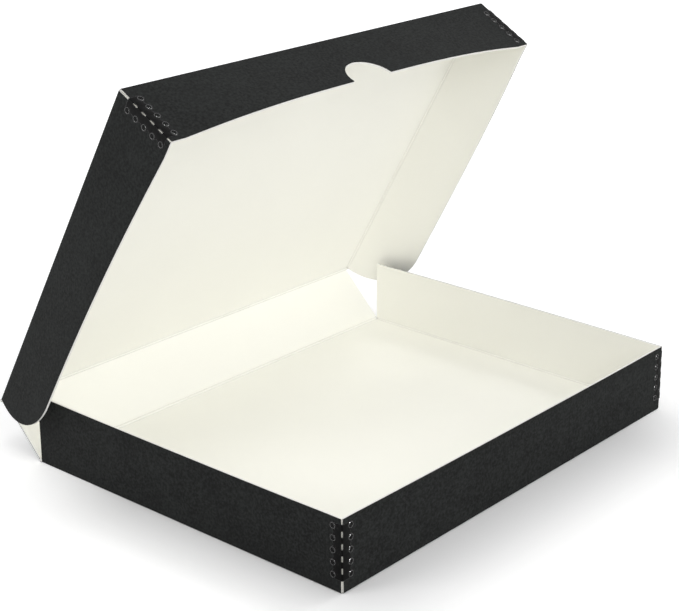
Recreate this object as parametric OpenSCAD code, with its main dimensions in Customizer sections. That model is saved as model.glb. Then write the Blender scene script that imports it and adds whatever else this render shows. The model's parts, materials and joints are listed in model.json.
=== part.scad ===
// Archival clamshell box. One blank of stiff board, faced in black, is creased
// and folded into a tray, a spine and a lid. Pressed metal stays hold its four
// front corners. The box stands open on its tray: X runs along the spine, the
// spine is at +Y, and the origin is the middle of the tray's underside.

/* [Board] */
// Thickness of the pale core of the board
core_t = 1.2; // [0.8:0.1:2]
// Thickness of the black facing on the outside
facing_t = 0.3; // [0.2:0.05:0.5]
// How far a crease's bead stands up from the inside face
crease_rise = 0.9; // [0.4:0.1:1.4]
// Gap between the cut ends of two walls that meet at a corner
corner_slit = 0.1; // [0.05:0.05:0.5]

/* [Tray] */
// Outside width of the tray, along the spine
tray_w = 305; // [120:1:500]
// Outside depth of the tray, from its front wall to the rear ends of its sides
tray_d = 241; // [120:1:400]
// Outside height of the tray
tray_h = 43.5; // [42:0.5:90]

/* [Lid] */
// Outside height of the lid's walls
lid_h = 44.3; // [42:0.1:90]
// Gap between the lid's walls and the tray's walls when the box is closed
lid_clear = 0.9; // [0.7:0.1:2]
// Gap left over the tray's walls under the lid's creases when the box is closed
lid_lift = 0.3; // [0.2:0.1:2]
// How far the free edge of a side wall has sprung out at its rear end
side_spring = 11.4; // [0:0.1:15]
// How far the free edge of the front wall has bowed out at its middle
front_bow = 7.5; // [0:0.1:10]
// How flat that bow is: higher numbers keep it flatter in the middle
bow_power = 2.8; // [2:0.1:4]
// Radius of the quarter-round rear ends of the side walls
rear_round = 41; // [5:1:80]

/* [Thumb notch] */
// Width of the notch along the lid's free edge
notch_w = 32; // [16:1:60]
// Depth of the notch below that edge
notch_depth = 17; // [8:0.5:25]

/* [Spine and hinges] */
// Lean of the spine back from upright
spine_back = 45; // [0:1:90]
// Opening of the lid past square to the spine
lid_open = 15.5; // [0:0.5:90]
// Running gap between a crease's bead and the spine's hollow edge
hinge_gap = 0.05; // [0.02:0.01:0.1]
// Gap between the tray's side walls and the spine when the box is closed
spine_gap = 0.3; // [0.2:0.1:1]
// How much shorter than the tray the spine is at each end
spine_trim = 0.4; // [0.2:0.1:2]

/* [Corner stays] */
// Thickness of the stay's sheet steel
stay_t = 0.4; // [0.3:0.05:0.6]
// Length of a stay along its corner
stay_l = 32.7; // [28:0.1:34]
// Distance from the stay's upper end to the free edge of the walls
stay_drop = 3; // [1:0.5:6]
// Width of the plain band on each leg
band_w = 5.4; // [4:0.1:8]
// Radius of the stay's bend, inside
bend_r = 0.7; // [0.3:0.1:1]
// Number of bridges across the corner
bridge_n = 5; // [3:1:6]
// Spacing of the bridges, and of the lobes beside them
bridge_pitch = 7.1; // [6.6:0.1:7.5]
// Length of the slot between two bridges
slot_l = 3.6; // [3.2:0.1:4.5]
// Half of the slot's width, measured along one leg
slot_r = 1.5; // [1:0.1:1.6]
// Radius of a scalloped lobe
lobe_r = 2.1; // [1.8:0.1:2.4]
// Distance from the band's edge to the middle of a lobe
lobe_out = 1.1; // [0.8:0.1:1.6]
// Radius of the scallop cut between two lobes
scallop_r = 1.5; // [1:0.1:1.6]
// Outer radius of the prong pierced through each lobe
prong_r = 1.1; // [0.9:0.05:1.3]
// Wall of the prong
prong_wall = 0.3; // [0.2:0.05:0.4]
// How far a prong bites into the wall
prong_bite = 1; // [0.5:0.05:1.2]

/* [Hidden] */
$fn = 48;
eps = 0.01;                             // overlap that closes a cut
far = 2 * (tray_w + tray_d + tray_h);   // longer than anything in the box

// Board
wall = core_t + facing_t;
fold_r = (wall + crease_rise) / 2;      // outside of a fold, and half a bead
core_r = fold_r - facing_t;             // the fold's core, under the facing
face_in = wall - fold_r;                // inside face, past the fold's centre
arc_n = 4;                              // facets round a fold
spring_n = 12;                          // stations along a sprung side wall
bow_n = 20;                             // and along a bowed front wall
bead_end = fold_r - 0.2;                // a bead ends just inside the next one
corner_cut = wall + corner_slit;        // a wall's end, back from the corner

// Tray and lid, each measured from its hinge axis
tray_back = spine_gap + face_in;
tray_reach = tray_d + tray_back;
hinge_y = tray_d / 2 + tray_back;
spine_l = tray_h + lid_lift;
spine_w = tray_w - 2 * spine_trim;
lid_w = tray_w + 2 * (wall + lid_clear);
lid_reach = tray_reach + lid_clear + wall;

// The lid's walls stay square beside the stays, and spring out past them
leg_w = band_w + lobe_out + lobe_r;
hold_l = leg_w + 1;
notch_r = (pow(notch_w / 2, 2) + pow(notch_depth, 2)) / (2 * notch_depth);

lobe_x = band_w + lobe_out;
bend_out = bend_r + stay_t;

// Angles turned from the flat blank
spine_turn = 90 - spine_back;
lid_turn = 90 - lid_open;

// Points on an arc about the origin
function arc(r, from, to) =
    [for (i = [0:arc_n]) let (a = from + (to - from) * i / arc_n) r * [cos(a), sin(a)]];

// A folded wall in section, about its fold's centre: the panel lies to +X, the
// wall stands to +Y, and its outside has turned by lean past square
function out_dir(lean) = [-cos(lean), -sin(lean)];
function up_dir(lean) = [-sin(lean), cos(lean)];

function core_section(h, lean) =
    let (n = out_dir(lean),
         top = (h - fold_r) * up_dir(lean))
    concat(arc(core_r, 270, 180 + lean),
           [core_r * n + top, -face_in * n + top,
            [face_in * (1 - sin(lean)) / cos(lean), face_in]]);

function facing_section(h, lean) =
    let (n = out_dir(lean),
         top = (h - fold_r) * up_dir(lean))
    concat(arc(core_r, 270, 180 + lean),
           [core_r * n + top, fold_r * n + top],
           arc(fold_r, 180 + lean, 270));

// Lean that carries the free edge of a wall out by a given distance
function lean_for(out, h) = asin(out / (h - fold_r));

// Stations along a wall, as [place, lean]: a side springs out towards its rear
// end, at 0, and a front wall bows out towards its middle
function side_stations(len, h, spring) = concat(
    [for (i = [0:spring_n])
        let (k = i / spring_n)
        [k * (len - hold_l), lean_for(spring * (1 - pow(k, bow_power)), h)]],
    [[len, 0]]);

function front_stations(len, h, bow) = concat(
    [[0, 0]],
    [for (i = [0:bow_n])
        let (k = 2 * i / bow_n - 1)
        [len / 2 + k * (len / 2 - hold_l), lean_for(bow * (1 - pow(abs(k), bow_power)), h)]],
    [[len, 0]]);

// Skin over sections set at their stations. Both faces of the wall are split
// along the same diagonals, which bulge outwards, so its thickness holds.
module loft(stations, sections, inside_out = false) {
    n = len(sections[0]);
    last = (len(sections) - 1) * n;
    sides = [for (j = [0:len(sections) - 2], i = [0:n - 1])
        let (a = j * n + i, b = j * n + (i + 1) % n,
             climbs = i < arc_n + 2,
             leans_out = stations[j + 1][1] > stations[j][1])
        each (climbs == leans_out ? [[a, b, b + n], [a, b + n, a + n]]
                                  : [[a, b, a + n], [b, b + n, a + n]])];
    ends = [[for (i = [n - 1:-1:0]) i], [for (i = [0:n - 1]) last + i]];
    faces = concat(sides, ends);
    polyhedron([for (j = [0:len(sections) - 1], p = sections[j]) [p.x, p.y, stations[j][0]]],
               inside_out ? [for (f = faces) [for (i = [len(f) - 1:-1:0]) f[i]]] : faces);
}

// A wall along +Z on its fold, straight or sprung
module core_wall(len, h, stations) {
    if (len(stations) == 0)
        linear_extrude(len) polygon(core_section(h, 0));
    else
        loft(stations, [for (s = stations) core_section(h, s[1])]);
}

module facing_wall(len, h, stations) {
    if (len(stations) == 0)
        linear_extrude(len) polygon(facing_section(h, 0));
    else
        loft(stations, [for (s = stations) facing_section(h, s[1])], true);
}

// The outline that rounds off the rear end of a side wall
module side_outline(h, back, radius) {
    r = min(radius, h - 2 * fold_r - corner_slit);
    centre = corner_slit - back - r;
    translate([centre - far, -fold_r]) square([far, h]);
    translate([-far, -fold_r]) square([far + wall, h - r]);
    translate([centre, h - fold_r - r]) circle(r, $fn = 96);
}

// Half a box about its hinge axis: the panel runs to -Y with its outside down.
// Children are the panel, a side wall and a front wall, each on its own fold.
module box_half(w, reach, back, h, radius) {
    side_l = reach - back - corner_cut;
    translate([-w / 2 + fold_r, fold_r - reach, -fold_r]) children(0);
    for (side = [0, 1])
        mirror([side, 0, 0])
            intersection() {
                translate([-w / 2 + fold_r, -back, 0]) rotate([90, 0, 0]) children(1);
                if (radius > 0)
                    rotate([90, 0, 90]) linear_extrude(far, center = true)
                        side_outline(h, back, radius);
                else
                    cube(far, center = true);
            }
    translate([-w / 2 + corner_cut, fold_r - reach, 0]) rotate([90, 0, 90]) children(2);
}

// The beads that the creases raise inside the side folds and the front fold
module fold_bead(len) {
    linear_extrude(len) intersection() {
        circle(fold_r);
        translate([-face_in, -core_r]) square([wall, core_r + fold_r]);
    }
}

module half_beads(w, reach) {
    for (side = [0, 1])
        mirror([side, 0, 0]) translate([-w / 2 + fold_r, -bead_end, 0]) rotate([90, 0, 0])
            fold_bead(reach - fold_r - 2 * bead_end);
    translate([-w / 2 + corner_cut, fold_r - reach, 0]) rotate([90, 0, 90])
        fold_bead(w - 2 * corner_cut);
}

// The crease on a hinge axis: a round bead with the facing wrapped under it
module hinge_bead(w) {
    rotate([90, 0, 90]) linear_extrude(w, center = true) {
        circle(core_r);
        intersection() {
            circle(fold_r);
            union() {
                translate([-fold_r, -core_r]) square([fold_r, 2 * fold_r]);
                translate([-eps, 0]) square(fold_r + eps);
            }
        }
    }
}

module hinge_wrap(w) {
    rotate([90, 0, 90]) linear_extrude(w, center = true)
        difference() {
            intersection() {
                circle(fold_r);
                translate([0, -fold_r]) square(fold_r);
            }
            circle(core_r);
        }
}

module half_core(w, reach, back, h, radius = 0, sides = [], front = []) {
    box_half(w, reach, back, h, radius) {
        translate([0, 0, facing_t]) cube([w - 2 * fold_r, reach - fold_r, core_t]);
        core_wall(reach - back - corner_cut, h, sides);
        core_wall(w - 2 * corner_cut, h, front);
    }
    half_beads(w, reach);
    hinge_bead(w);
}

module half_facing(w, reach, back, h, radius = 0, sides = [], front = []) {
    box_half(w, reach, back, h, radius) {
        cube([w - 2 * fold_r, reach - fold_r, facing_t]);
        facing_wall(reach - back - corner_cut, h, sides);
        facing_wall(w - 2 * corner_cut, h, front);
    }
    hinge_wrap(w);
}

// Places on the box
module at_tray() {
    translate([0, hinge_y, fold_r]) children();
}

module at_spine() {
    at_tray() rotate([spine_turn, 0, 0]) children();
}

// The lid is drawn as the tray is, and turned round to face the other way
module at_lid() {
    at_spine() translate([0, spine_l, 0]) rotate([lid_turn, 0, 0]) mirror([0, 1, 0]) children();
}

// Tray
module tray_board() {
    color("ivory") at_tray() half_core(tray_w, tray_reach, tray_back, tray_h);
}

module tray_facing() {
    color([0.15, 0.15, 0.15]) at_tray() half_facing(tray_w, tray_reach, tray_back, tray_h);
}

// Spine: a flat strip whose long edges are hollowed to turn on the beads
module spine_strip(low, thick) {
    rotate([90, 0, 90]) linear_extrude(spine_w, center = true)
        difference() {
            translate([0, low]) square([spine_l, thick]);
            circle(fold_r + hinge_gap);
            translate([spine_l, 0]) circle(fold_r + hinge_gap);
        }
}

module spine_board() {
    color("ivory") at_spine() spine_strip(-core_r, core_t);
}

module spine_facing() {
    color([0.15, 0.15, 0.15]) at_spine() spine_strip(-fold_r, facing_t);
}

// Lid
lid_sides = side_stations(lid_reach - tray_back - corner_cut, lid_h, side_spring);
lid_front = front_stations(lid_w - 2 * corner_cut, lid_h, front_bow);

module thumb_notch() {
    translate([0, wall - lid_reach, lid_h - fold_r - notch_depth + notch_r])
        rotate([90, 0, 0]) cylinder(r = notch_r, h = 2 * wall + front_bow);
    translate([-notch_r, -lid_reach - wall - front_bow, lid_h - fold_r - notch_depth + notch_r])
        cube([2 * notch_r, 2 * wall + front_bow, notch_depth]);
}

module lid_board() {
    color("ivory") at_lid() difference() {
        half_core(lid_w, lid_reach, tray_back, lid_h, rear_round, lid_sides, lid_front);
        thumb_notch();
    }
}

module lid_facing() {
    color([0.15, 0.15, 0.15]) at_lid() difference() {
        half_facing(lid_w, lid_reach, tray_back, lid_h, rear_round, lid_sides, lid_front);
        thumb_notch();
    }
}

// One leg of a stay in its own plane: X is the distance from the corner, and Y
// runs along it from the stay's middle
module leg_outline() {
    difference() {
        union() {
            translate([bend_r, -stay_l / 2]) square([band_w - bend_r, stay_l]);
            for (i = [0:bridge_n - 1])
                translate([lobe_x, (i - (bridge_n - 1) / 2) * bridge_pitch]) circle(lobe_r);
        }
        for (i = [0:bridge_n - 1])
            translate([lobe_x, (i - (bridge_n - 1) / 2) * bridge_pitch])
                circle(prong_r - prong_wall);
        for (i = [1:bridge_n - 1])
            translate([0, (i - bridge_n / 2) * bridge_pitch]) {
                translate([lobe_x, 0]) circle(scallop_r);
                for (end = [-1, 1])
                    translate([0, end * (slot_l / 2 - slot_r)]) circle(slot_r);
                translate([0, slot_r - slot_l / 2]) square([slot_r, slot_l - 2 * slot_r]);
            }
    }
}

// A leg's plate lies outside the wall, at -Z, and its prongs bite to +Z
module leg() {
    translate([0, 0, -stay_t]) linear_extrude(stay_t) leg_outline();
    for (i = [0:bridge_n - 1])
        translate([lobe_x, (i - (bridge_n - 1) / 2) * bridge_pitch, -stay_t])
            difference() {
                cylinder(r = prong_r, h = stay_t + prong_bite);
                translate([0, 0, -eps])
                    cylinder(r = prong_r - prong_wall, h = stay_t + prong_bite + 2 * eps);
            }
}

// A stay about the corner line, with its legs along +X and +Y
module stay() {
    rotate([90, 0, 0]) mirror([0, 0, 1]) leg();
    mirror([1, -1, 0]) rotate([90, 0, 0]) mirror([0, 0, 1]) leg();
    difference() {
        translate([bend_r, bend_r, -stay_l / 2]) linear_extrude(stay_l) difference() {
            intersection() {
                circle(bend_out);
                translate([-bend_out, -bend_out]) square(bend_out);
            }
            circle(bend_r);
        }
        for (i = [1:bridge_n - 1])
            translate([-far / 2, -far / 2, (i - bridge_n / 2) * bridge_pitch - slot_l / 2])
                cube([far, far, slot_l]);
    }
}

// The left stay of half a box, on the corner of its front and left walls
module half_stay(w, reach, h) {
    translate([-w / 2, -reach, h - fold_r - stay_drop - stay_l / 2]) stay();
}

module tray_left_stay() {
    color([0.1, 0.1, 0.1]) at_tray() half_stay(tray_w, tray_reach, tray_h);
}

module tray_right_stay() {
    color([0.1, 0.1, 0.1]) at_tray() mirror([1, 0, 0]) half_stay(tray_w, tray_reach, tray_h);
}

module lid_left_stay() {
    color([0.1, 0.1, 0.1]) at_lid() half_stay(lid_w, lid_reach, lid_h);
}

module lid_right_stay() {
    color([0.1, 0.1, 0.1]) at_lid() mirror([1, 0, 0]) half_stay(lid_w, lid_reach, lid_h);
}

tray_board();
tray_facing();
spine_board();
spine_facing();
lid_board();
lid_facing();
tray_left_stay();
tray_right_stay();
lid_left_stay();
lid_right_stay();
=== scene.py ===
"""Archival clamshell box: black-faced board folded into a tray, a spine and a
lid, with pressed metal stays at its front corners. The shapes are dressed here
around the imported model's frame, in metres, with the box standing open."""

import json
import math

import bmesh
import bpy
from mathutils import Matrix, Vector


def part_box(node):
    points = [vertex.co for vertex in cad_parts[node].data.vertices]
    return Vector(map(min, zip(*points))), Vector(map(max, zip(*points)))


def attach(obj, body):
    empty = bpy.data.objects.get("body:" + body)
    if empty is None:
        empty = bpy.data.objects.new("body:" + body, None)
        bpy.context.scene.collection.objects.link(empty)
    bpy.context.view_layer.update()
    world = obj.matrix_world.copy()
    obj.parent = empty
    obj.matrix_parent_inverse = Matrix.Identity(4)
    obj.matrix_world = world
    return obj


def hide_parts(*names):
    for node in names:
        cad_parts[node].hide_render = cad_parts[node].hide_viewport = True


bl_info = {
    "name": "Archival clamshell box",
    "version": (1, 0, 0),
    "blender": (4, 5, 0),
    "location": "View3D > Sidebar > Box",
    "description": "Builds an open archival box from folded board with metal corner stays",
    "category": "Add Mesh",
}

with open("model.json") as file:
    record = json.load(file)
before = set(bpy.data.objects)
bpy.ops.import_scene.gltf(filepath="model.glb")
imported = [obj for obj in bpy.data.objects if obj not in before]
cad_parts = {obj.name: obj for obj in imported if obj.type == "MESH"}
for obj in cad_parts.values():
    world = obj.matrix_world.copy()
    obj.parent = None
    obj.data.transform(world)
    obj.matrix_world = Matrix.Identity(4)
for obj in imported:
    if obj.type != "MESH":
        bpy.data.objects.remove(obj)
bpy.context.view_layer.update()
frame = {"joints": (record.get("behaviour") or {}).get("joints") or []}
MM = 0.001

FOLD_ROWS, WALL_ROWS, HINGE_ROWS = 6, 8, 14
BEAD_FADE = 4 * MM         # stretch over which a bead dies out at a corner
PANEL_EASE = 8 * MM        # stretch over which a panel's inner face meets a bead
CREST_BEVEL = 0.1 * MM     # rounding of a stay's cut edges
LOBE_STEPS = (-2, -1, 0, 1, 2)       # places along a stay, in pitches, of its
SLOT_STEPS = (-1.5, -0.5, 0.5, 1.5)  # lobes with their bosses and of its slots

SHADOW_CENTRE = (-0.02, -0.045, 0)   # core of the shadow on the floor, which
SHADOW_HALF = (0.11, 0.075, 1)       # the floor's glow grows away from
NEAR_GLOW = {"From Min": 0.004, "From Max": 0.1}
FAR_GLOW = {"From Min": 0.25, "From Max": 2.5}
FAR_STRENGTH = 0.7
LIGHTS_AIM = Vector((0, 0, 0.08))

JOINTS = {joint["name"]: joint for joint in frame["joints"]}
TRAY_AXIS = Vector(JOINTS["spine_fold"]["pos_m"])
LID_AXIS = Vector(JOINTS["lid_fold"]["pos_m"])
SPINE_TURN = math.radians(90 + JOINTS["spine_fold"]["range_deg"][0])
LID_TURN = SPINE_TURN + math.radians(90 + JOINTS["lid_fold"]["range_deg"][0])
TRAY_LOW, TRAY_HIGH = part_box("tray_facing")
SPINE_LENGTH = (LID_AXIS - TRAY_AXIS).length


def length(name, description, default, low=0.0, high=1.0):
    """A length in metres for a property group."""
    return bpy.props.FloatProperty(name=name, description=description, default=default,
                                   min=low, max=high, unit="LENGTH", precision=5)


def colour(name, description, default):
    """A linear colour for a property group."""
    return bpy.props.FloatVectorProperty(name=name, description=description, default=default,
                                         subtype="COLOR", size=3, min=0.0, max=1.0)


def number(name, description, default, low=0.0, high=10.0):
    """A plain number for a property group."""
    return bpy.props.FloatProperty(name=name, description=description, default=default,
                                   min=low, max=high)


class BoardSettings(bpy.types.PropertyGroup):
    """Sizes of the board and of its folds"""

    core: length("Core", "Thickness of the pale core", 1.2 * MM)
    facing: length("Facing", "Thickness of the black facing", 0.3 * MM)
    rise: length("Crease rise", "How far a crease's bead stands up inside", 0.9 * MM)
    slit: length("Corner slit", "Gap between the walls' ends at a corner", 0.1 * MM)
    corner_reach: length("Corner reach", "How far a wall's outer face runs on at a corner",
                         0.7 * MM)
    lid_clear: length("Lid clearance", "Gap between the lid's and the tray's walls", 0.9 * MM)
    lid_height: length("Lid height", "Outside height of the lid's walls", 44.3 * MM)
    spine_gap: length("Spine gap", "Gap between the tray's sides and the spine", 0.3 * MM)
    spine_trim: length("Spine trim", "How much shorter the spine is at each end", 0.4 * MM)
    hinge_gap: length("Hinge gap", "Gap between a bead and the spine's edge", 0.05 * MM)
    side_spring: length("Side spring", "How far the lid's sides have sprung out", 11.4 * MM)
    front_bow: length("Front bow", "How far the lid's front has bowed out", 7.5 * MM)
    tray_bow: length("Tray bow", "How far the tray's walls have bowed out", 0.8 * MM)
    bow_power: number("Bow power", "Higher keeps the bow flatter in its middle", 2.8)
    square_end: length("Square end", "Stretch that a stay keeps square", 9.6 * MM)
    rear_round: length("Rear round", "Radius of the lid sides' rear ends", 41 * MM)
    notch_width: length("Notch width", "Width of the thumb notch", 32 * MM)
    notch_depth: length("Notch depth", "Depth of the thumb notch", 17 * MM)


class StaySettings(bpy.types.PropertyGroup):
    """Sizes of the pressed corner stays"""

    sheet: length("Sheet", "Thickness of the sheet steel", 0.4 * MM)
    long: length("Length", "Length along the corner", 32.7 * MM)
    drop: length("Drop", "Distance from the walls' free edge", 3 * MM)
    band: length("Band", "Width of the plain band on each leg", 5.4 * MM)
    bend: length("Bend", "Inside radius of the bend", 0.7 * MM)
    sunk: length("Sunk", "How far the stay is pressed into the board", 0.22 * MM)
    pitch: length("Pitch", "Spacing of the bridges and lobes", 7.1 * MM)
    slot_long: length("Slot length", "Length of the slot between bridges", 3.6 * MM)
    slot_reach: length("Slot reach", "Half of the slot's width", 0.75 * MM)
    lobe: length("Lobe", "Radius of a lobe", 2.1 * MM)
    lobe_out: length("Lobe offset", "From the band's edge to a lobe's middle", 1.1 * MM)
    dip: length("Dip", "Depth of the cut between lobes", 1.1 * MM)
    boss: length("Boss", "Radius of the pressed boss over each prong", 1.5 * MM)
    rim: length("Rim", "Height of the pressed rim round a boss", 0.16 * MM)


class FinishSettings(bpy.types.PropertyGroup):
    """Colours of the box"""

    facing: colour("Facing", "Black facing paper", (0.0105, 0.0116, 0.0112))
    liner: colour("Liner", "Cream lining", (0.94, 0.934, 0.875))
    cut: colour("Cut edge", "Pale core at a cut edge", (0.86, 0.85, 0.82))
    enamel: colour("Enamel", "Black enamel on the stays", (0.002, 0.002, 0.002))


class StageSettings(bpy.types.PropertyGroup):
    """Camera and light"""

    lens: number("Lens", "Focal length in millimetres on a 36 mm frame", 94.58, 10, 400)
    shift_x: number("Shift X", "The camera's sideways shift", -0.2204, -1, 1)
    shift_y: number("Shift Y", "The camera's upward shift", -0.1197, -1, 1)
    azimuth: number("Azimuth", "The camera's place round the box, in degrees", -52.71, -180, 180)
    elevation: number("Elevation", "The camera's height angle, in degrees", 18.45, -90, 90)
    roll: number("Roll", "The camera's roll, in degrees", 1.18, -180, 180)
    floor: number("Floor", "How pale the floor is", 0.84, 0, 1)
    floor_glow: number("Floor glow", "Light that only the camera, mirrors and glass see on "
                       "the floor", 0.35, 0, 1)
    sky: number("Sky", "Strength of the even light from all round", 0.55)
    front: number("Front light", "Power of the soft light in front, in watts", 26, 0, 1000)
    overhead: number("Overhead light", "Power of the soft light above, in watts", 5, 0, 1000)
    right: number("Right light", "Power of the soft light on the right, in watts", 13, 0, 1000)
    low: number("Low light", "Power of the soft light low in front, in watts", 18, 0, 1000)
    glint: number("Glint light", "Power of each small light that the metal catches, in watts",
                  45, 0, 1000)
    rear: number("Rear light", "Power of the soft light behind on the left, in watts", 6, 0, 1000)
    place: bpy.props.FloatVectorProperty(
        name="Place", description="The camera's place", size=3, subtype="TRANSLATION",
        unit="LENGTH", default=(-0.7589, -0.67295, 0.4772))


def settings():
    """The scene's property groups."""
    scene = bpy.context.scene
    return scene.box_board, scene.box_stay, scene.box_finish, scene.box_stage


class Board:
    """Sizes worked out from the board's settings and the frame."""

    def __init__(self):
        board = settings()[0]
        self.s = board
        self.wall = board.core + board.facing
        self.fold = (self.wall + board.rise) / 2
        self.core = self.fold - board.facing
        self.inside = self.wall - self.fold
        self.bite = math.asin(self.inside / self.fold)
        self.cut = self.wall + board.slit
        self.back = board.spine_gap + self.inside


class Half:
    """One half of the box about its hinge axis: the panel runs to -Y with its
    outside down, and its walls stand up on three folds."""

    def __init__(self, lid):
        board = Board()
        s = board.s
        self.b = board
        self.lid = lid
        grow = s.lid_clear + board.wall if lid else 0.0
        self.width = TRAY_HIGH.x - TRAY_LOW.x + 2 * grow
        self.reach = TRAY_AXIS.y - TRAY_LOW.y + grow
        self.height = s.lid_height if lid else TRAY_HIGH.z - TRAY_LOW.z
        self.rise = self.height - board.fold
        self.side_long = self.reach - board.back - board.cut
        self.front_long = self.width - 2 * board.cut
        turn = LID_TURN if lid else 0.0
        self.matrix = (Matrix.Translation(LID_AXIS if lid else TRAY_AXIS)
                       @ Matrix.Rotation(turn, 4, "X")
                       @ (Matrix.Scale(-1, 4, (0, 1, 0)) if lid else Matrix.Identity(4)))

    def side_lean(self, place):
        """Lean of a side wall, at a distance from its rear end."""
        s = self.b.s
        share = min(max(place / (self.side_long - s.square_end), 0.0), 1.0)
        if self.lid:
            out = s.side_spring * (1 - share ** s.bow_power)
        else:
            out = s.tray_bow * (1 - abs(2 * share - 1) ** s.bow_power)
        return math.asin(out / self.rise)

    def front_lean(self, place):
        """Lean of the front wall, at a distance from its left end."""
        s = self.b.s
        half = self.front_long / 2
        share = min(abs(place - half) / (half - s.square_end), 1.0)
        bow = s.front_bow if self.lid else s.tray_bow
        return math.asin(bow * (1 - share ** s.bow_power) / self.rise)


def spaced(first, last, count):
    """Evenly spaced numbers, ends included."""
    return [first + (last - first) * i / count for i in range(count + 1)]


def eased(first, last, count):
    """Numbers that crowd towards both ends."""
    return [first + (last - first) * (1 - math.cos(math.pi * i / count)) / 2
            for i in range(count + 1)]


def side_columns(half):
    """Columns of a side wall, as (foot, top place, top height)."""
    rise, long, b = half.rise, half.side_long, half.b
    if not half.lid:
        return [(p, p, rise) for p in eased(0, long, 32)]
    radius = min(b.s.rear_round, half.height - 2 * b.fold - b.s.slit)
    low = rise - radius
    fan = 1.25 * radius
    arc = [(fan * i / 20, radius * (1 - math.cos(math.pi / 40 * i)),
            low + radius * math.sin(math.pi / 40 * i)) for i in range(21)]
    rest = eased(0, 1, 26)[1:]
    return arc + [(fan + (long - fan) * t, radius + (long - radius) * t, rise) for t in rest]


def front_columns(half):
    """Columns of the front wall, as (foot, top place, top height)."""
    rise, long, s = half.rise, half.front_long, half.b.s
    if not half.lid:
        return [(p, p, rise) for p in eased(0, long, 36)]
    depth, wide = s.notch_depth, s.notch_width / 2
    radius = (wide ** 2 + depth ** 2) / (2 * depth)
    centre = rise - depth + radius
    ease = 0.7 * MM
    edge = [(-wide - ease, rise), (-wide - 0.3 * ease, rise - 0.3 * ease),
            (-wide, rise - ease)]
    start = math.asin(min(wide / radius, 1.0))
    bowl = [(-radius * math.cos(a), centre - radius * math.sin(a))
            for a in spaced(math.pi / 2 - start, math.pi / 2, 12)]
    left = edge + [(x, z) for x, z in bowl if z < rise - 1.3 * ease]
    outline = left + [(-x, z) for x, z in reversed(left[:-1])]
    steps = [0.0]
    for (x0, z0), (x1, z1) in zip(outline, outline[1:]):
        steps.append(steps[-1] + math.hypot(x1 - x0, z1 - z0))
    foot = wide + 4 * MM
    notch = [(long / 2 - foot + 2 * foot * step / steps[-1], long / 2 + x, z)
             for step, (x, z) in zip(steps, outline)]
    side = eased(0, 1, 18)[:-1]
    first = [((long / 2 - foot) * t, (long / 2 - wide - ease) * t, rise) for t in side]
    last = [(long - f, long - p, z) for f, p, z in reversed(first)]
    return first + notch + last


class Sheet:
    """A folded sheet: points have a place on each face, and the cut edges are
    closed with a rim."""

    def __init__(self):
        self.keys, self.points, self.faces = {}, [], []

    def point(self, key, outer, inner):
        if key not in self.keys:
            self.keys[key] = len(self.points)
            self.points.append((Vector(outer), Vector(inner)))
        return self.keys[key]

    def grid(self, rows):
        for low, high in zip(rows, rows[1:]):
            for i in range(len(low) - 1):
                self.faces.append((low[i], low[i + 1], high[i + 1], high[i]))

    def build(self, name, matrix, materials):
        mesh = bmesh.new()
        outer = [mesh.verts.new(matrix @ o) for o, _ in self.points]
        inner = [mesh.verts.new(matrix @ i) for _, i in self.points]
        used = {}
        for face in self.faces:
            mesh.faces.new([outer[i] for i in face])
            mesh.faces.new([inner[i] for i in reversed(face)])
            for a, b in zip(face, face[1:] + face[:1]):
                used[(a, b)] = True
        for a, b in used:
            if (b, a) not in used:
                rim = mesh.faces.new((outer[b], outer[a], inner[a], inner[b]))
                rim.material_index = len(materials) - 1
        return finish_mesh(mesh, name, materials)


def finish_mesh(mesh, name, materials, angle=35):
    """Turns a bmesh into an object with its normals outward and its edges sharp."""
    bmesh.ops.dissolve_degenerate(mesh, edges=mesh.edges, dist=1e-7)
    bmesh.ops.recalc_face_normals(mesh, faces=mesh.faces)
    data = bpy.data.meshes.new(name)
    mesh.to_mesh(data)
    mesh.free()
    for material in materials:
        data.materials.append(material)
    data.shade_smooth()
    data.set_sharp_from_angle(angle=math.radians(angle))
    piece = bpy.data.objects.new(name, data)
    bpy.context.scene.collection.objects.link(piece)
    return piece


def bead_share(place, long):
    """How high a bead stands: it dies out towards the corners."""
    end = min(place, long - place) / BEAD_FADE
    t = min(max(end, 0.0), 1.0)
    return t * t * (3 - 2 * t)


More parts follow.
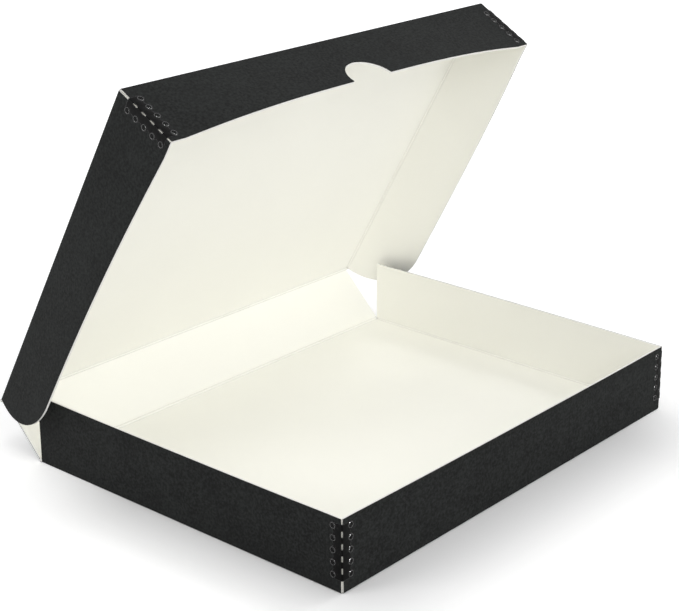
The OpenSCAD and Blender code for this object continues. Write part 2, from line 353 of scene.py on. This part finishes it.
class Layer:
    """One half's sheet, either its core or its facing."""

    def __init__(self, half, facing):
        b = half.b
        self.half, self.facing = half, facing
        self.outer = b.fold if facing else b.core
        self.inner = b.core if facing else -b.inside
        self.sheet = Sheet()

    def fold_inner(self, row, lean, share):
        """A point of the inner face on a fold's row, from the fold's centre."""
        b = self.half.b
        t = row / FOLD_ROWS
        if self.facing:
            return self.fold_outer(b.core, row, lean)
        angle = b.bite + t * (math.pi / 2 + lean - 2 * b.bite)
        bead = Vector((b.fold * math.cos(angle), b.fold * math.sin(angle)))
        corner = Vector((b.inside * (1 - math.sin(lean)) / math.cos(lean), b.inside))
        up = Vector((-math.sin(lean), math.cos(lean)))
        ease = 0.25 * MM
        plain = (corner + Vector((ease, 0)) * (1 - t) ** 2 + up * ease * t ** 2)
        return plain.lerp(bead, share)

    def fold_outer(self, radius, row, lean):
        """A point of an outer face on a fold's row, from the fold's centre."""
        angle = math.radians(270) + (lean - math.pi / 2) * row / FOLD_ROWS
        return Vector((radius * math.cos(angle), radius * math.sin(angle)))

    def wall_point(self, offset, lean, height):
        """A point of a wall's face, from the fold's centre."""
        out = Vector((-math.cos(lean), -math.sin(lean)))
        up = Vector((-math.sin(lean), math.cos(lean)))
        return out * offset + up * height

    def corner_ends(self, tag, row, last):
        """How far the outer face of a wall's end columns runs on into a corner: it
        grows up the fold and then, less, up the wall."""
        up_fold = min(row / FOLD_ROWS, 1.0)
        up_wall = max((row - FOLD_ROWS) / WALL_ROWS, 0)
        reach = self.half.b.s.corner_reach * up_fold * (0.75 + 0.5 * up_wall)
        return {0: -reach, last: reach} if tag == "front" else {last: reach}

    def flap(self, tag, columns, long, lean_at, place, feet):
        """A wall: place turns (along, inward, up) into a point of the half, and
        feet are the panel's points that its first row shares."""
        b = self.half.b
        rows = [feet]
        outer_deep, inner_deep = ((b.fold - face) / b.wall for face in (self.outer, self.inner))
        for row in range(1, FOLD_ROWS + WALL_ROWS + 1):
            points = []
            ends = self.corner_ends(tag, row, len(columns) - 1)
            for j, (foot, top, height) in enumerate(columns):
                if row <= FOLD_ROWS:
                    lean = lean_at(foot)
                    outer = self.fold_outer(self.outer, row, lean)
                    inner = self.fold_inner(row, lean, bead_share(foot, long))
                    along = foot
                else:
                    t = (row - FOLD_ROWS) / WALL_ROWS
                    along = foot + (top - foot) * t
                    lean = lean_at(along)
                    start = 0.0
                    if not self.facing:
                        base = self.fold_inner(FOLD_ROWS, lean, bead_share(foot, long))
                        start = base.dot(Vector((-math.sin(lean), math.cos(lean))))
                    outer = self.wall_point(self.outer, lean, height * t)
                    inner = self.wall_point(self.inner, lean, start + (height - start) * t)
                reach = ends.get(j, 0)
                points.append(self.sheet.point(
                    (tag, row, j), place(along + reach * (1 - outer_deep), *outer),
                    place(along + reach * (1 - inner_deep), *inner)))
            rows.append(points)
        self.sheet.grid(rows)

    def build(self, name, materials):
        half, b = self.half, self.half.b
        wide, deep = half.width / 2 - b.fold, half.reach - b.fold
        sides, fronts = side_columns(half), front_columns(half)
        xs = [-wide] + [f - half.front_long / 2 for f, _, _ in fronts] + [wide]
        ys = [0.0] + [-b.back - f for f, _, _ in sides] + [-deep]
        low = -self.outer
        level = -b.core if self.facing else b.inside

        def shift(value, limit, inset):
            near = limit - abs(value)
            if near >= PANEL_EASE:
                return value
            return math.copysign(limit - inset - near * (1 - inset / PANEL_EASE), value)

        def inset(lean, share):
            return self.fold_inner(0, lean, share).x

        grid = []
        for i, x in enumerate(xs):
            column = []
            for j, y in enumerate(ys):
                along_side = -b.back - y
                side = inset(half.side_lean(along_side), bead_share(along_side, half.side_long))
                along_front = x + half.front_long / 2
                front = inset(half.front_lean(along_front),
                              bead_share(along_front, half.front_long))
                inner_y = y if y > PANEL_EASE - deep else -shift(-y, deep, front)
                column.append(self.sheet.point(
                    ("panel", i, j), (x, y, low), (shift(x, wide, side), inner_y, level)))
            grid.append(column)
        self.sheet.grid([list(c) for c in zip(*grid)])

        for sign, column in ((-1, grid[0]), (1, grid[-1])):
            self.flap(("side", sign), sides, half.side_long, half.side_lean,
                      lambda along, x, z, sign=sign: (sign * (half.width / 2 - b.fold - x),
                                                      -b.back - along, z),
                      column[1:-1])
        self.flap("front", fronts, half.front_long, half.front_lean,
                  lambda along, y, z: (along - half.front_long / 2, y - deep, z),
                  [column[-1] for column in grid[1:-1]])
        self.hinge(grid, xs, wide)
        self.fix_winding()
        return self.sheet.build(name, half.matrix, materials)

    def hinge(self, grid, xs, wide):
        """The crease on the hinge axis: a bead with the facing wrapped under it."""
        half, b = self.half, self.half.b
        if self.facing:
            outer = [(b.fold, a) for a in spaced(270, 360, 8)]
            inner = [(b.core, a) for a in spaced(270, 360, 8)]
        else:
            top = 180 - math.degrees(b.bite)
            outer = ([(b.core, a) for a in spaced(270, 360, 8)]
                     + [(b.fold, a) for a in spaced(360, 400, 5)])
            inner = [(b.fold, a) for a in spaced(top, 42, HINGE_ROWS)]
        rows = []
        for k, ((ro, ao), (ri, ai)) in enumerate(zip(outer, inner)):
            points = []
            for i, x in enumerate(xs):
                if k == 0 and self.facing:
                    points.append(grid[i][0])
                    continue
                spread = x + math.copysign(b.fold, x) if i in (0, len(xs) - 1) and k else x
                o = (ro * math.cos(math.radians(ao)), ro * math.sin(math.radians(ao)))
                n = (ri * math.cos(math.radians(ai)), ri * math.sin(math.radians(ai)))
                points.append(self.sheet.point(("hinge", k, i), (spread, *o), (spread, *n)))
            rows.append(points)
        if not self.facing:
            rows.insert(0, [column[0] for column in grid])
        self.sheet.grid(rows)

    def fix_winding(self):
        """Turns every face to run the same way as the face that it shares an edge with."""
        mesh = bmesh.new()
        verts = [mesh.verts.new(o) for o, _ in self.sheet.points]
        for face in self.sheet.faces:
            mesh.faces.new([verts[i] for i in face])
        bmesh.ops.recalc_face_normals(mesh, faces=mesh.faces)
        mesh.verts.index_update()
        self.sheet.faces = [tuple(v.index for v in f.verts) for f in mesh.faces]
        mesh.free()


def strip(name, profile, low, high, matrix, materials, count=24):
    """A solid strip along X with the given profile in (y, z)."""
    mesh = bmesh.new()
    rings = [[mesh.verts.new(matrix @ Vector((x, y, z))) for y, z in profile]
             for x in spaced(low, high, count)]
    for a, b in zip(rings, rings[1:]):
        for i in range(len(profile)):
            j = (i + 1) % len(profile)
            mesh.faces.new((a[i], a[j], b[j], b[i]))
    for ring in (rings[0], rings[-1]):
        mesh.faces.new(ring).material_index = len(materials) - 1
    return finish_mesh(mesh, name, materials)


def spine_profile(low, high):
    """The spine's section between two heights, hollowed round both beads."""
    b = Board()
    radius = b.fold + b.s.hinge_gap
    start, end = math.asin(low / radius), math.asin(high / radius)
    near = [(radius * math.cos(a), radius * math.sin(a)) for a in spaced(start, end, 6)]
    return near + [(SPINE_LENGTH - y, z) for y, z in reversed(near)]


def stay_outline(s, arc):
    """Half of a stay's outline in the flat, from its lower to its upper end."""
    edge = arc / 2 + s.band - s.bend
    centre = edge + s.lobe_out
    turn = math.radians(68)
    neck = centre + s.lobe * math.cos(turn)
    foot = s.lobe * math.sin(turn)
    points = [(edge, -s.long / 2), (centre - 0.5 * s.lobe, -s.long / 2)]
    for step in LOBE_STEPS:
        v = step * s.pitch
        points += [(centre + s.lobe * math.cos(a), v + s.lobe * math.sin(a))
                   for a in spaced(-turn, turn, 12)]
        if step < LOBE_STEPS[-1]:
            half = s.pitch / 2 - foot
            points += [(neck - s.dip * math.sin(math.pi * t) ** 0.7,
                        v + foot + 2 * half * t) for t in spaced(0, 1, 8)[1:-1]]
    return points + [(centre - 0.5 * s.lobe, s.long / 2), (edge, s.long / 2)]


def ring_points(u, v, radius, count, stretch=0.0):
    """A circle in the flat, drawn out along v into a slot if it is stretched."""
    points = []
    for i in range(count):
        a = 2 * math.pi * (i + 0.5) / count
        points.append((u + radius * math.cos(a),
                       v + radius * math.sin(a) + math.copysign(stretch, math.sin(a))))
    return points


def stay_mesh(s, arc):
    """A stay in the flat: U across it, V along it and N up from the board."""
    mesh = bmesh.new()
    right = stay_outline(s, arc)
    loops = [right + [(-u, v) for u, v in reversed(right)]]
    centre = arc / 2 + s.band - s.bend + s.lobe_out
    for k in LOBE_STEPS:
        for side in (-1, 1):
            loops.append(ring_points(side * centre, k * s.pitch, s.boss, 20))
    half = s.slot_reach
    for k in SLOT_STEPS:
        round_end = min(half, s.slot_long / 2 - 0.2 * MM)
        loops.append(ring_points(0, k * s.pitch, round_end, 20, s.slot_long / 2 - round_end))
    edges = []
    for loop in loops:
        verts = [mesh.verts.new((u, v, 0)) for u, v in loop]
        edges += [mesh.edges.new((a, b)) for a, b in zip(verts, verts[1:] + verts[:1])]
    bmesh.ops.triangle_fill(mesh, use_beauty=True, use_dissolve=False, edges=edges)
    for u in spaced(-arc / 2, arc / 2, 8):
        parts = mesh.verts[:] + mesh.edges[:] + mesh.faces[:]
        bmesh.ops.bisect_plane(mesh, geom=parts, plane_co=(u, 0, 0), plane_no=(1, 0, 0))
    bmesh.ops.recalc_face_normals(mesh, faces=mesh.faces)
    if mesh.faces[0].normal.z > 0:
        bmesh.ops.reverse_faces(mesh, faces=mesh.faces)
    made = bmesh.ops.extrude_face_region(mesh, geom=mesh.faces[:])
    for item in made["geom"]:
        if isinstance(item, bmesh.types.BMVert):
            item.co.z += s.sheet
    crest = [e for e in mesh.edges if all(v.co.z > s.sheet / 2 for v in e.verts)
             and len(e.link_faces) == 2 and e.calc_face_angle(0) > 1]
    # the rounded crest takes the polished enamel, with its painted highlights
    bmesh.ops.bevel(mesh, geom=crest, offset=CREST_BEVEL, segments=2, profile=0.6, affect="EDGES",
                    material=1)
    for k in LOBE_STEPS:
        for side in (-1, 1):
            boss(mesh, s, side * centre, k * s.pitch)
    return mesh


def boss(mesh, s, u, v):
    """The round boss pressed over a prong, with a groove between it and its rim."""
    r, top, low = s.boss, s.sheet, 0.06 * MM
    profile = [(r + 0.12 * MM, 0.02 * MM), (r + 0.38 * MM, top - 0.03 * MM),
               (r + 0.26 * MM, top + 0.7 * s.rim), (r + 0.1 * MM, top + s.rim),
               (r - 0.05 * MM, top + 0.5 * s.rim), (r - 0.14 * MM, top - 0.1 * MM),
               (r - 0.2 * MM, low), (r - 0.36 * MM, low), (r - 0.46 * MM, top - 0.12 * MM),
               (r - 0.6 * MM, top + 0.4 * s.rim), (r - 0.85 * MM, top + 0.8 * s.rim),
               (0.25 * MM, top + s.rim)]
    count = 24
    # rings that take the polished enamel, with its painted highlights
    bright = (1, 2, 3, 8)
    rings = [[mesh.verts.new((u + d * math.cos(2 * math.pi * i / count),
                              v + d * math.sin(2 * math.pi * i / count), n))
              for i in range(count)] for d, n in profile]
    for k, (a, b) in enumerate(zip(rings, rings[1:])):
        for i in range(count):
            j = (i + 1) % count
            mesh.faces.new((a[i], a[j], b[j], b[i])).material_index = int(k in bright)
    mesh.faces.new(rings[-1])
    mesh.faces.new(list(reversed(rings[0])))


def bend_stay(point, s, arc):
    """Wraps a point of the flat stay round the corner of two walls."""
    u, v, n = point
    n -= s.sunk
    if abs(u) <= arc / 2:
        angle = math.radians(225) + u / arc * math.pi / 2
        radius = s.bend + n
        return Vector((s.bend + radius * math.cos(angle), s.bend + radius * math.sin(angle), v))
    far = abs(u) - arc / 2 + s.bend
    return Vector((far, -n, v)) if u > 0 else Vector((-n, far, v))


def corner_stay(name, half, right, materials):
    """A stay on a front corner of a half of the box."""
    s = settings()[1]
    arc = math.pi / 2 * (s.bend + s.sheet / 2)
    mesh = stay_mesh(s, arc)
    mirror = Matrix.Scale(-1, 4, (1, 0, 0)) if right else Matrix.Identity(4)
    middle = half.rise - s.drop - s.long / 2
    place = (half.matrix @ mirror
             @ Matrix.Translation((-half.width / 2, -half.reach, middle)))
    for vert in mesh.verts:
        vert.co = place @ bend_stay(vert.co, s, arc)
    return finish_mesh(mesh, name, materials, 30)


class Graph:
    """Adds nodes to a material, or to the world."""

    def __init__(self, owner):
        owner.use_nodes = True
        self.tree = owner.node_tree
        self.tree.nodes.clear()

    def node(self, kind, values=None, **options):
        """A node of a type, with its options set first and then its sockets."""
        node = self.tree.nodes.new(kind)
        for key, value in options.items():
            setattr(node, key, value)
        for key, value in (values or {}).items():
            if isinstance(value, Value):
                value = value.socket
            if isinstance(value, bpy.types.NodeSocket):
                self.tree.links.new(value, node.inputs[key])
            else:
                node.inputs[key].default_value = value
        return node

    def value(self, kind, output=0, values=None, **options):
        """The same, as a value that shader maths can use."""
        return Value(self, self.node(kind, values, **options).outputs[output])


class Value:
    """A socket that Python's operators add Math nodes to."""

    def __init__(self, graph, socket):
        self.graph, self.socket = graph, socket

    def maths(self, operation, a, b):
        return self.graph.value("ShaderNodeMath", 0, {0: a, 1: b}, operation=operation)

    def clamped(self):
        return self.graph.value("ShaderNodeClamp", 0, {0: self})

    def __add__(self, other):
        return self.maths("ADD", self, other)

    def __radd__(self, other):
        return self.maths("ADD", other, self)

    def __sub__(self, other):
        return self.maths("SUBTRACT", self, other)

    def __rsub__(self, other):
        return self.maths("SUBTRACT", other, self)

    def __mul__(self, other):
        return self.maths("MULTIPLY", self, other)

    def __rmul__(self, other):
        return self.maths("MULTIPLY", other, self)


def noise(graph, scale, detail=4.0, roughness=0.55):
    """Noise through the piece's own space, in cycles to the metre."""
    place = graph.node("ShaderNodeTexCoord").outputs["Object"]
    return graph.value("ShaderNodeTexNoise", "Fac",
                       {"Vector": place, "Scale": scale, "Detail": detail,
                        "Roughness": roughness})


def relief(graph, height, strength, distance):
    """A normal that follows a height."""
    bump = graph.node("ShaderNodeBump",
                      {"Strength": strength, "Distance": distance, "Height": height})
    return bump.outputs[0]


def blend_colour(graph, share, first, second):
    """A colour between two, by a share."""
    mix = graph.node("ShaderNodeMix", {"Factor": share, "A": (*first, 1.0), "B": (*second, 1.0)},
                     data_type="RGBA")
    return mix.outputs["Result"]


def scaled(base, by):
    """A colour made darker or lighter."""
    return tuple(min(c * by, 1.0) for c in base)


def surface(name, graph_of):
    """A material whose graph is made by a function that returns the shader's sockets."""
    material = bpy.data.materials.new(name)
    graph = Graph(material)
    shader = graph.node("ShaderNodeBsdfPrincipled", graph_of(graph))
    graph.node("ShaderNodeOutputMaterial", {"Surface": shader.outputs[0]})
    return material


def facing_material(base):
    """Black facing paper: matte, with fine fibres pressed into a mottle."""
    def sockets(graph):
        fibre = noise(graph, 650, 4, 0.6)
        cloud = noise(graph, 60, 4, 0.6)
        broad = noise(graph, 9, 2, 0.5)
        share = fibre * 0.7 + cloud * 0.2 + broad * 0.1
        return {"Base Color": blend_colour(graph, (share - 0.4) * 4.5, scaled(base, 0.38),
                                           scaled(base, 1.65)),
                "Roughness": 0.68 + cloud * 0.08, "Normal": relief(graph, fibre, 0.35, 0.12 * MM),
                "Specular IOR Level": 0.1}
    return surface("black_facing_paper", sockets)


def liner_material(base):
    """Cream lining: smooth paper with the faintest clouding, and painted shade in the roots of a
    crease, where ambient occlusion darkens the base colour."""
    def sockets(graph):
        cloud = noise(graph, 14, 4, 0.55)
        fibre = noise(graph, 1400, 3, 0.6)
        open_to = graph.value("ShaderNodeAmbientOcclusion", "AO", {"Distance": 1.8 * MM},
                              samples=12)
        paper = blend_colour(graph, cloud * 0.7 + fibre * 0.3, scaled(base, 0.965),
                             scaled(base, 1.02))
        # painted shade: ambient occlusion darkens the base colour towards 0.62 of the liner in
        # the roots of a crease
        crease_shade = graph.node("ShaderNodeMix", {"Factor": ((0.93 - open_to) * 1.6).clamped(),
                                               "A": paper, "B": (*scaled(base, 0.62), 1.0)},
                             data_type="RGBA")
        return {"Base Color": crease_shade.outputs["Result"],
                "Roughness": 0.7, "Normal": relief(graph, fibre, 0.12, 0.06 * MM),
                "Specular IOR Level": 0.3}
    return surface("cream_lining", sockets)


def cut_material(base):
    """The core at a cut edge: pale, open fibres in layers."""
    def sockets(graph):
        fibre = noise(graph, 2200, 4, 0.7)
        return {"Base Color": blend_colour(graph, fibre, scaled(base, 0.8), scaled(base, 1.08)),
                "Roughness": 0.9, "Normal": relief(graph, fibre, 0.5, 0.1 * MM),
                "Specular IOR Level": 0.2}
    return surface("cut_board_edge", sockets)


def enamel_material(base):
    """Black enamel on pressed steel, with a soft gloss and slight orange peel."""
    def sockets(graph):
        peel = noise(graph, 700, 3, 0.5)
        enamel_mottle = noise(graph, 160, 3, 0.6)
        return {"Base Color": blend_colour(graph, enamel_mottle, scaled(base, 0.75), scaled(base, 1.4)),
                "Roughness": 0.08 + enamel_mottle * 0.08, "Normal": relief(graph, peel, 0.15, 0.05 * MM),
                "Specular IOR Level": 0.06}
    return surface("black_enamel", sockets)


def rim_material(base):
    """The same enamel where it is drawn thin and polished over a pressed rim, with its base
    colour lifted in noisy spots as painted highlights.
    """
    def sockets(graph):
        enamel_mottle = noise(graph, 900, 2, 0.6)
        # painted highlight: the noise lifts the base colour up to fourteen times in spots along
        # the rims
        return {"Base Color": blend_colour(graph, (enamel_mottle - 0.4) * 4, scaled(base, 1.0),
                                           scaled(base, 14)),
                "Roughness": 0.1 + enamel_mottle * 0.12, "Specular IOR Level": 0.8}
    return surface("polished_enamel_painted_highlights", sockets)


def finish_named(name):
    """One of the box's finishes, made the first time that it is asked for."""
    finish = settings()[2]
    makers = {"black_facing_paper": (facing_material, finish.facing),
              "cream_lining": (liner_material, finish.liner),
              "cut_board_edge": (cut_material, finish.cut),
              "black_enamel": (enamel_material, finish.enamel),
              "polished_enamel_painted_highlights": (rim_material, finish.enamel)}
    made = bpy.data.materials.get(name)
    if made is None:
        maker, base = makers[name]
        made = maker(tuple(base))
    return made


def dress(piece, body, node):
    """Puts a piece on its body in place of a node."""
    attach(piece, body)
    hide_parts(node)
    return piece


def add_half(lid):
    """The core and the facing of the tray or of the lid."""
    body = "lid" if lid else "tray"
    half = Half(lid)
    liner, cut = finish_named("cream_lining"), finish_named("cut_board_edge")
    paper = finish_named("black_facing_paper")
    dress(Layer(half, False).build(body + "_folded_board", [liner, cut]),
          body, body + "_board")
    dress(Layer(half, True).build(body + "_facing_paper", [paper]),
          body, body + "_facing")


class BOX_OT_tray(bpy.types.Operator):
    """Fold the tray's board and its facing"""

    bl_idname = "box.tray"
    bl_label = "Tray"

    def execute(self, context):
        add_half(False)
        return {"FINISHED"}


class BOX_OT_lid(bpy.types.Operator):
    """Fold the lid's board and its facing, with sprung walls and a thumb notch"""

    bl_idname = "box.lid"
    bl_label = "Lid"

    def execute(self, context):
        add_half(True)
        return {"FINISHED"}


class BOX_OT_spine(bpy.types.Operator):
    """Lay the spine between the two long creases"""

    bl_idname = "box.spine"
    bl_label = "Spine"

    def execute(self, context):
        b = Board()
        wide = (TRAY_HIGH.x - TRAY_LOW.x) / 2 - b.s.spine_trim
        place = Matrix.Translation(TRAY_AXIS) @ Matrix.Rotation(SPINE_TURN, 4, "X")
        board = strip("spine_board_strip", spine_profile(-b.core, b.inside), -wide, wide, place,
                      [finish_named("cream_lining"), finish_named("cut_board_edge")])
        paper = strip("spine_facing_paper", spine_profile(-b.fold, -b.core), -wide, wide, place,
                      [finish_named("black_facing_paper")])
        dress(board, "spine", "spine_board")
        dress(paper, "spine", "spine_facing")
        return {"FINISHED"}


class BOX_OT_stays(bpy.types.Operator):
    """Press the metal stays onto the four front corners"""

    bl_idname = "box.stays"
    bl_label = "Corner stays"

    def execute(self, context):
        enamel = [finish_named("black_enamel"), finish_named("polished_enamel_painted_highlights")]
        for lid in (False, True):
            body = "lid" if lid else "tray"
            half = Half(lid)
            for right, side in ((False, "left"), (True, "right")):
                stay = corner_stay(f"{body}_{side}_corner_stay", half, right, enamel)
                dress(stay, body, f"{body}_{side}_stay")
        return {"FINISHED"}


def soft_light(name, place, size, power):
    """A square light that faces the box."""
    lamp = bpy.data.lights.new(name, "AREA")
    lamp.shape, lamp.size, lamp.energy = "SQUARE", size, power
    light = bpy.data.objects.new(name, lamp)
    bpy.context.scene.collection.objects.link(light)
    light.location = place
    light.rotation_euler = (Vector(place) - LIGHTS_AIM).to_track_quat("Z", "Y").to_euler()
    return light


def seen_directly(graph):
    """One for rays from the camera, in a reflection or through glass, else nought."""
    path = graph.node("ShaderNodeLightPath")
    camera, glossy, through = (Value(graph, path.outputs[name]) for name in
                               ("Is Camera Ray", "Is Glossy Ray", "Is Transmission Ray"))
    return (camera + glossy + through).clamped()


class BOX_OT_stage(bpy.types.Operator):
    """Set the pale floor, the soft studio light and the camera"""

    bl_idname = "box.stage"
    bl_label = "Stage"

    def execute(self, context):
        scene = context.scene
        stage = settings()[3]
        bpy.ops.mesh.primitive_plane_add(size=40, location=(0, 0, 0))
        floor = context.active_object
        floor.name = "pale_floor"
        material = bpy.data.materials.new("pale_floor_paper")
        graph = Graph(material)
        paper = graph.node("ShaderNodeBsdfDiffuse", {"Color": (stage.floor,) * 3 + (1,)})
        place = graph.node("ShaderNodeNewGeometry").outputs["Position"]
        moved = graph.node("ShaderNodeVectorMath", {0: place, 1: SHADOW_CENTRE},
                           operation="SUBTRACT")
        size = graph.node("ShaderNodeVectorMath", {0: moved.outputs[0]}, operation="ABSOLUTE")
        past = graph.node("ShaderNodeVectorMath", {0: size.outputs[0], 1: SHADOW_HALF},
                          operation="SUBTRACT")
        beyond = graph.node("ShaderNodeVectorMath", {0: past.outputs[0]}, operation="MAXIMUM")
        away = graph.value("ShaderNodeVectorMath", "Value", {0: beyond.outputs[0]},
                           operation="LENGTH")
        clear, far = (graph.value("ShaderNodeMapRange", "Result", {"Value": away, **reach},
                                  interpolation_type="SMOOTHSTEP")
                      for reach in (NEAR_GLOW, FAR_GLOW))
        glow = graph.node("ShaderNodeEmission", {
            "Strength": seen_directly(graph) * (clear * stage.floor_glow
                                                + far * FAR_STRENGTH)})
        both = graph.node("ShaderNodeAddShader", {0: paper.outputs[0], 1: glow.outputs[0]})
        graph.node("ShaderNodeOutputMaterial", {"Surface": both.outputs[0]})
        floor.data.materials.append(material)

        world = bpy.data.worlds.new("studio")
        scene.world = world
        sky = Graph(world)
        light = stage.sky + seen_directly(sky) * (1 - stage.sky)
        glow = sky.node("ShaderNodeBackground", {"Color": (1, 1, 1, 1), "Strength": light})
        sky.node("ShaderNodeOutputWorld", {"Surface": glow.outputs[0]})

        soft_light("front", (-0.7, -2.3, 1.9), 1.6, stage.front)
        soft_light("low front", (0.45, -3.1, 0.4), 1.6, stage.low)
        soft_light("overhead", (0.1, 0.3, 3.0), 1.4, stage.overhead)
        soft_light("right", (1.9, -0.6, 2.4), 0.9, stage.right)
        soft_light("rear left", (-1.3, 0.6, 0.8), 0.7, stage.rear)
        for name, place in (("left glint", (-1.7, -0.9, 0.8)), ("high glint", (-0.3, -1.6, 1.7))):
            soft_light(name, place, 0.25, stage.glint).visible_diffuse = False

        camera = bpy.data.objects.new("camera", bpy.data.cameras.new("camera"))
        scene.collection.objects.link(camera)
        camera.data.sensor_width = 36
        camera.data.lens = stage.lens
        camera.data.shift_x, camera.data.shift_y = stage.shift_x, stage.shift_y
        camera.data.clip_start, camera.data.clip_end = 0.05, 60
        azimuth, tilt = math.radians(stage.azimuth), math.radians(stage.elevation)
        back = Vector((math.sin(azimuth) * math.cos(tilt), -math.cos(azimuth) * math.cos(tilt),
                       math.sin(tilt)))
        turn = back.to_track_quat("Z", "Y") @ Matrix.Rotation(
            math.radians(stage.roll), 3, "Z").to_quaternion()
        camera.matrix_world = Matrix.Translation(stage.place) @ turn.to_matrix().to_4x4()
        scene.camera = camera
        scene.view_settings.view_transform = "Standard"
        return {"FINISHED"}


class BOX_PT_panel(bpy.types.Panel):
    """The box's sizes, its pieces and its stage"""

    bl_label = "Archival box"
    bl_space_type = "VIEW_3D"
    bl_region_type = "UI"
    bl_category = "Box"

    def draw(self, context):
        for group in settings():
            column = self.layout.column(align=True)
            for name in group.bl_rna.properties.keys():
                if name not in ("rna_type", "name"):
                    column.prop(group, name)
        for operator in OPERATORS:
            self.layout.operator(operator.bl_idname)


GROUPS = {"box_board": BoardSettings, "box_stay": StaySettings,
          "box_finish": FinishSettings, "box_stage": StageSettings}
OPERATORS = (BOX_OT_tray, BOX_OT_lid, BOX_OT_spine, BOX_OT_stays, BOX_OT_stage)


def register():
    for group in GROUPS.values():
        bpy.utils.register_class(group)
    for name, group in GROUPS.items():
        setattr(bpy.types.Scene, name, bpy.props.PointerProperty(type=group))
    for operator in OPERATORS:
        bpy.utils.register_class(operator)
    bpy.utils.register_class(BOX_PT_panel)


def unregister():
    bpy.utils.unregister_class(BOX_PT_panel)
    for operator in reversed(OPERATORS):
        bpy.utils.unregister_class(operator)
    for name in GROUPS:
        delattr(bpy.types.Scene, name)
    for group in reversed(GROUPS.values()):
        bpy.utils.unregister_class(group)


def main():
    register()
    bpy.ops.box.tray()
    bpy.ops.box.spine()
    bpy.ops.box.lid()
    bpy.ops.box.stays()
    bpy.ops.box.stage()


if __name__ == "__main__":
    main()
